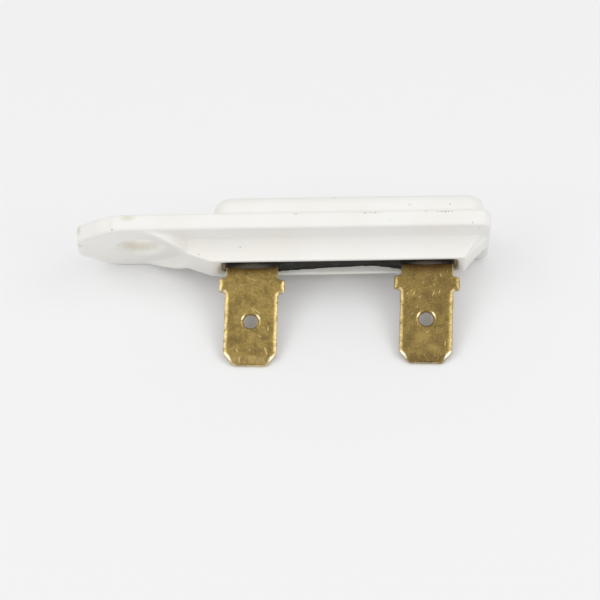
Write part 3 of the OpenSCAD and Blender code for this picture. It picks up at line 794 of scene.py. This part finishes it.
def dress(piece, node, material):
    """Puts the piece in the node's place, on the part's body, with its finish."""
    piece.data.materials.append(material)
    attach(piece, BODY)
    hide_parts(node)


def chip_corners(mesh):
    """Wears small chips off the ceramic's corners."""
    points = points_of(mesh)
    normals = np.empty(len(points) * 3, np.float32)
    mesh.vertices.foreach_get("normal", normals)
    normals = normals.reshape(-1, 3)
    for centre, radius, depth in CERAMIC_CHIPS:
        reach = np.linalg.norm(points - np.array(centre) * MM, axis=1) / (radius * MM)
        near = np.flatnonzero(reach < 1.0)
        grain = CHIP_GRAIN * MM
        rough = np.array([CHIP_EVENNESS + noise.noise(Vector(points[i]) / grain) for i in near])
        fall = (1.0 - reach[near] ** 2) ** 2
        points[near] -= normals[near] * (fall * rough.clip(0.0) * depth * MM)[:, None]
    move_points(mesh, points)


def round_ear(mesh):
    """Draws the ear's corners in to a rounder outline."""
    points = points_of(mesh)
    for corner, inward in EAR_CORNERS:
        gap = np.linalg.norm(points[:, [0, 2]] - np.array(corner) * MM, axis=1)
        overlap = (EAR_CORNER_REACH * MM - gap).clip(0.0)
        drawn = overlap**2 / (2 * EAR_CORNER_RADIUS * MM)
        points[:, [0, 2]] += drawn[:, None] * np.array(inward)
    move_points(mesh, points)


def coin_edges(mesh, node, mount, settings):
    """Presses both faces down along the outline of a blade and its shoulders."""
    tip, back, side = blade_axes(mount)
    tip = tip * MM
    reach = settings.coined_length
    low, high = HOLE_STRETCH
    kept = []
    for face in node.data.polygons:
        offset = face.center - tip
        near_hole = abs(offset.dot(side)) < settings.hole_room
        inside = near_hole and low < offset.dot(back) / reach < high
        if abs(face.normal.z) < SIDE_NORMAL and not inside:
            kept.append(tuple(face.vertices))
    outline = BVHTree.FromPolygons([v.co for v in node.data.vertices], kept)
    points = points_of(mesh)
    from_tips = (points - np.array(tip)) @ np.array(back)
    for i in np.flatnonzero(from_tips < reach):
        x, y, z = points[i]
        gap = outline.find_nearest(Vector((x, y, 0.0)))[3]
        if gap < settings.bevel_width:
            fade = min((reach - from_tips[i]) / settings.bevel_width, 1.0)
            drop = fade * settings.bevel_depth * (1.0 - gap / settings.bevel_width) ** 2
            limit = settings.thickness / 2 - drop
            points[i, 2] = min(max(z, -limit), limit)
    move_points(mesh, points)


def stem_places(level):
    """Where each terminal passes the level, along the part."""
    places = []
    for name in ("left_blade", "right_blade"):
        tip, axis = Vector(MOUNTS[name]["pos_m"]), Vector(MOUNTS[name]["axis"])
        places.append((tip + axis * ((level - tip.y) / axis.y)).x)
    return places


def pour_potting(mesh, node, settings):
    """Gives the potting's top its cast form: dished, rippled, and climbing the terminals and walls."""
    source = node.data
    tree = BVHTree.FromPolygons(
        [v.co for v in source.vertices], [tuple(p.vertices) for p in source.polygons]
    )
    low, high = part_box("potting")
    wall_z = high.z
    down = Vector((0, 1, 0))

    def level_at(x, z):
        hit = tree.ray_cast(Vector((x, low.y - 1 * MM, z)), down)[0]
        return None if hit is None else hit.y

    flat = level_at(low.x + settings.cell, 0.0)
    stems = stem_places(flat)
    climbs = (settings.climb_left, settings.climb_right)
    half_stem, half_strip = settings.stem_width / 2, settings.strip / 2
    middle = (stems[0] + stems[1]) / 2
    half_dish = (stems[1] - stems[0]) / 2 - half_stem
    lowest = settings.dish_lowest

    def cast_level(x, z):
        along = (x - middle) / half_dish - lowest
        along /= (1.0 + lowest) if along < 0.0 else (1.0 - lowest)
        level = flat + settings.dish_depth * max(1.0 - abs(along) ** DISH_CURVE, 0.0)
        for stem, highest in zip(stems, climbs):
            across = abs(x - stem)
            climb = highest - settings.climb_bow * min(across / half_stem, 1.0) ** 2
            gap = math.hypot(max(across - half_stem, 0.0), max(abs(z) - half_strip, 0.0))
            level -= climb * math.exp(-gap / settings.climb_spread)
        wall_gap = min(wall_z - abs(z), x - low.x, high.x - x)
        level -= settings.wall_climb * math.exp(-max(wall_gap, 0.0) / settings.climb_spread)
        wave = noise.noise(Vector((x, 0.0, z)) / settings.ripple_size)
        return level + settings.ripple * wave

    points = points_of(mesh)
    foot = flat + settings.dish_depth + settings.soft_depth
    for i in np.flatnonzero(points[:, 1] < foot):
        x, y, z = points[i]
        x_in = min(max(x, low.x + settings.cell), high.x - settings.cell)
        z_in = min(max(z, settings.cell - wall_z), wall_z - settings.cell)
        old = level_at(x_in, z_in)
        if old is None or old >= foot - settings.cell:
            continue
        rise = min((foot - y) / (foot - old), 1.0)
        points[i, 1] = foot + (cast_level(x, z) - foot) * rise
    move_points(mesh, points)


class CeramicHousing(bpy.types.Operator):
    """Makes the fired ceramic housing with eased edges, chips, specks, stains and painted shade in the
    mounting hole
    """

    bl_idname = "thermal_fuse.ceramic_housing"
    bl_label = "Ceramic housing"

    def execute(self, context):
        settings = context.scene.fuse_ceramic
        piece = even_copy("housing", "ceramic_housing", settings.cell, settings.easing)
        chip_corners(piece.data)
        round_ear(piece.data)
        dress(piece, "housing", ceramic_material(settings))
        return {"FINISHED"}


class PottingCompound(bpy.types.Operator):
    """Makes the black potting with its cast surface"""

    bl_idname = "thermal_fuse.potting_compound"
    bl_label = "Potting compound"

    def execute(self, context):
        settings = context.scene.fuse_potting
        piece = even_copy("potting", "potting_compound", settings.cell, 0)
        pour_potting(piece.data, frame["nodes"]["potting"], settings)
        dress(piece, "potting", potting_material(settings))
        return {"FINISHED"}


class BrassTerminals(bpy.types.Operator):
    """Makes both brass terminals with eased edges, scratches and a worn tip"""

    bl_idname = "thermal_fuse.brass_terminals"
    bl_label = "Brass terminals"

    def execute(self, context):
        settings = context.scene.fuse_blades
        for side, wear_and_light in BLADE_WEAR_AND_LIGHT.items():
            node, mount = f"terminal_{side}", MOUNTS[f"{side}_blade"]
            piece = even_copy(node, f"brass_{node}", settings.cell, settings.easing)
            coin_edges(piece.data, frame["nodes"][node], mount, settings)
            material = brass_material(f"stamped_brass_{side}", settings, mount, wear_and_light)
            dress(piece, node, material)
        return {"FINISHED"}


class CutoffCartridge(bpy.types.Operator):
    """Gives the cutoff's pieces inside the housing their finishes"""

    bl_idname = "thermal_fuse.cutoff_cartridge"
    bl_label = "Cutoff cartridge"

    def execute(self, context):
        settings = context.scene.fuse_cutoff
        drawn, turned, plain = (0.3, 2.0, 2.0), (3.0, 1.0, 1.0), (1.0, 1.0, 1.0)
        # Name, colour, how metallic, roughness, stretch of the clouding, and pieces
        finishes = (
            ("plated_case", settings.case, 1.0, 0.3, drawn, ("cutoff_case",)),
            ("tinned_wire", settings.lead, 1.0, 0.28, drawn, ("case_lead", "isolated_lead")),
            ("pressed_pellet", settings.pellet, 0.0, 0.6, plain, ("thermal_pellet",)),
            ("stamped_disc", settings.disc, 1.0, 0.35, turned, ("pellet_disc", "spring_disc")),
            ("spring_wire", settings.spring, 1.0, 0.3, plain, ("barrel_spring", "trip_spring")),
            ("plated_contact", settings.contact, 1.0, 0.25, turned, ("star_contact",)),
            ("bushing_ceramic", settings.bushing, 0.0, 0.5, plain, ("ceramic_bushing",)),
            ("amber_epoxy", settings.seal, 0.0, 0.2, plain, ("epoxy_seal",)),
        )
        for name, colour, metallic, roughness, stretch, nodes in finishes:
            material = plain_material(name, colour, metallic, roughness, stretch)
            for node in nodes:
                for holder in frame["nodes"][node].material_slots:
                    holder.material = material
        return {"FINISHED"}


def resting_plane():
    """The table that the blades' tips and the plate's lower edge rest on: a point and its normal."""
    blades = np.concatenate(
        [points_of(frame["nodes"][name].data) for name in ("terminal_left", "terminal_right")]
    )
    tip_y = blades[:, 1].min()
    tip_z = blades[blades[:, 1] < tip_y + TIP_EDGE * MM][:, 2].min()
    body = points_of(frame["nodes"]["housing"].data)
    slope = ((tip_z - body[:, 2]) / (body[:, 1] - tip_y)).max()
    return Vector((0, tip_y, tip_z)), Vector((0, slope, 1)).normalized()


def lay_floor(settings, point, upward):
    """A plain pale floor under the part, seen only from above."""
    half = settings.floor_size / 2
    mesh = bpy.data.meshes.new("floor")
    corners = [(-half, -half, 0), (half, -half, 0), (half, half, 0), (-half, half, 0)]
    mesh.from_pydata(corners, [], [(0, 1, 2, 3)])
    floor = bpy.data.objects.new("floor", mesh)
    turn = Vector((0, 0, 1)).rotation_difference(upward).to_matrix().to_4x4()
    floor.matrix_world = Matrix.Translation(point) @ turn
    bpy.context.scene.collection.objects.link(floor)
    material, wiring, shader = principled(
        "pale_floor", {"Base Color": settings.floor, "Roughness": 0.9}
    )
    rays = wiring.add("ShaderNodeLightPath").outputs
    seen = wiring.strongest([rays[f"Is {kind} Ray"] for kind in ("Camera", "Glossy", "Transmission")])
    open_air = wiring.add("ShaderNodeAmbientOcclusion", {"Distance": settings.glow_reach}, samples=8)
    glow = wiring.add("ShaderNodeEmission", {"Color": settings.glow})
    faded = wiring.calculate("POWER", open_air.outputs["AO"], 2.0)
    shown_glow = wiring.calculate("MULTIPLY", seen, faded)
    lit = wiring.add(
        "ShaderNodeMixShader",
        {
            0: wiring.calculate("MULTIPLY", shown_glow, settings.glow_share),
            1: shader.outputs[0],
            2: glow.outputs[0],
        },
    )
    below = wiring.add("ShaderNodeNewGeometry").outputs["Backfacing"]
    clear = wiring.add("ShaderNodeBsdfTransparent").outputs[0]
    shown = wiring.add("ShaderNodeMixShader", {0: below, 1: lit.outputs[0], 2: clear})
    wiring.feed(material.node_tree.nodes["Material Output"], {"Surface": shown.outputs[0]})
    mesh.materials.append(material)


def hang_lamp(settings, side, upward):
    """A soft lamp at one side of the part, turned to its middle."""
    lamp = bpy.data.lights.new(f"lamp_{'left' if side < 0 else 'right'}", "AREA")
    lamp.shape = "RECTANGLE"
    lamp.size, lamp.size_y = settings.lamp_width, settings.lamp_depth
    lamp.energy = settings.lamp_power
    middle = (CAD_BOX[0] + CAD_BOX[1]) / 2
    rise = settings.lamp_height
    beside = Vector((1, 0, 0))
    overhead = Matrix.Rotation(settings.lamp_lean, 3, "X") @ upward
    way = beside * side * math.cos(rise) + overhead * math.sin(rise)
    along = overhead.cross(beside)
    holder = bpy.data.objects.new(lamp.name, lamp)
    turn = Matrix((along.cross(way), along, way)).transposed().to_4x4()
    holder.matrix_world = Matrix.Translation(middle + way * settings.lamp_distance) @ turn
    bpy.context.scene.collection.objects.link(holder)


def aim_camera(settings):
    """A camera that sees the mounting hole at its place in the picture."""
    ahead = Vector((0, math.cos(settings.elevation), -math.sin(settings.elevation)))
    level = Vector((1, 0, 0))
    upright = level.cross(ahead)
    turn, lift = math.cos(settings.roll), math.sin(settings.roll)
    right = level * turn - upright * lift
    up = level * lift + upright * turn
    pixel = MM / settings.scale
    middle = PICTURE_SIZE / 2
    hole = Vector(MOUNTS["mounting_hole"]["pos_m"]) - Vector((0, settings.hole_face, 0))
    seen = right * (settings.hole_across - middle) + up * (middle - settings.hole_down)
    camera = bpy.data.cameras.new("camera")
    camera.lens = camera.sensor_width * settings.distance / (pixel * PICTURE_SIZE)
    camera.clip_start = settings.distance / 100
    holder = bpy.data.objects.new("camera", camera)
    turned = Matrix((right, up, -ahead)).transposed().to_4x4()
    holder.matrix_world = Matrix.Translation(hole - seen * pixel - ahead * settings.distance) @ turned
    bpy.context.scene.collection.objects.link(holder)
    bpy.context.scene.camera = holder


class Stage(bpy.types.Operator):
    """Lays the floor, hangs the lamps and aims the camera"""

    bl_idname = "thermal_fuse.stage"
    bl_label = "Stage"

    def execute(self, context):
        settings = context.scene.fuse_stage
        point, upward = resting_plane()
        lay_floor(settings, point, upward)
        for side in (-1, 1):
            hang_lamp(settings, side, upward)
        aim_camera(settings)
        world = bpy.data.worlds.new("even_light")
        world.use_nodes = True
        background = world.node_tree.nodes["Background"]
        background.inputs["Color"].default_value = (1.0, 1.0, 1.0, 1.0)
        background.inputs["Strength"].default_value = settings.sky
        context.scene.world = world
        context.scene.view_settings.view_transform = "Standard"
        return {"FINISHED"}


class FusePanel(bpy.types.Panel):
    """Lists the fuse's pieces with their sizes and colours"""

    bl_idname = "VIEW3D_PT_thermal_fuse"
    bl_label = "Thermal fuse"
    bl_space_type = "VIEW_3D"
    bl_region_type = "UI"
    bl_category = "Thermal fuse"

    def draw(self, context):
        for operator, holder in PIECES:
            box = self.layout.box()
            box.operator(operator.bl_idname)
            settings = getattr(context.scene, holder)
            for name in settings.__annotations__:
                box.prop(settings, name)


SETTINGS = {
    "fuse_ceramic": CeramicSettings,
    "fuse_potting": PottingSettings,
    "fuse_blades": BladeSettings,
    "fuse_cutoff": CutoffSettings,
    "fuse_stage": StageSettings,
}
PIECES = (
    (CeramicHousing, "fuse_ceramic"),
    (PottingCompound, "fuse_potting"),
    (BrassTerminals, "fuse_blades"),
    (CutoffCartridge, "fuse_cutoff"),
    (Stage, "fuse_stage"),
)
CLASSES = (*SETTINGS.values(), *(operator for operator, _ in PIECES), FusePanel)


def register():
    for cls in CLASSES:
        bpy.utils.register_class(cls)
    for holder, settings in SETTINGS.items():
        setattr(bpy.types.Scene, holder, PointerProperty(type=settings))


def unregister():
    for holder in SETTINGS:
        delattr(bpy.types.Scene, holder)
    for cls in reversed(CLASSES):
        bpy.utils.unregister_class(cls)


def main():
    register()
    bpy.ops.thermal_fuse.ceramic_housing()
    bpy.ops.thermal_fuse.potting_compound()
    bpy.ops.thermal_fuse.brass_terminals()
    bpy.ops.thermal_fuse.cutoff_cartridge()
    bpy.ops.thermal_fuse.stage()


if __name__ == "__main__":
    main()
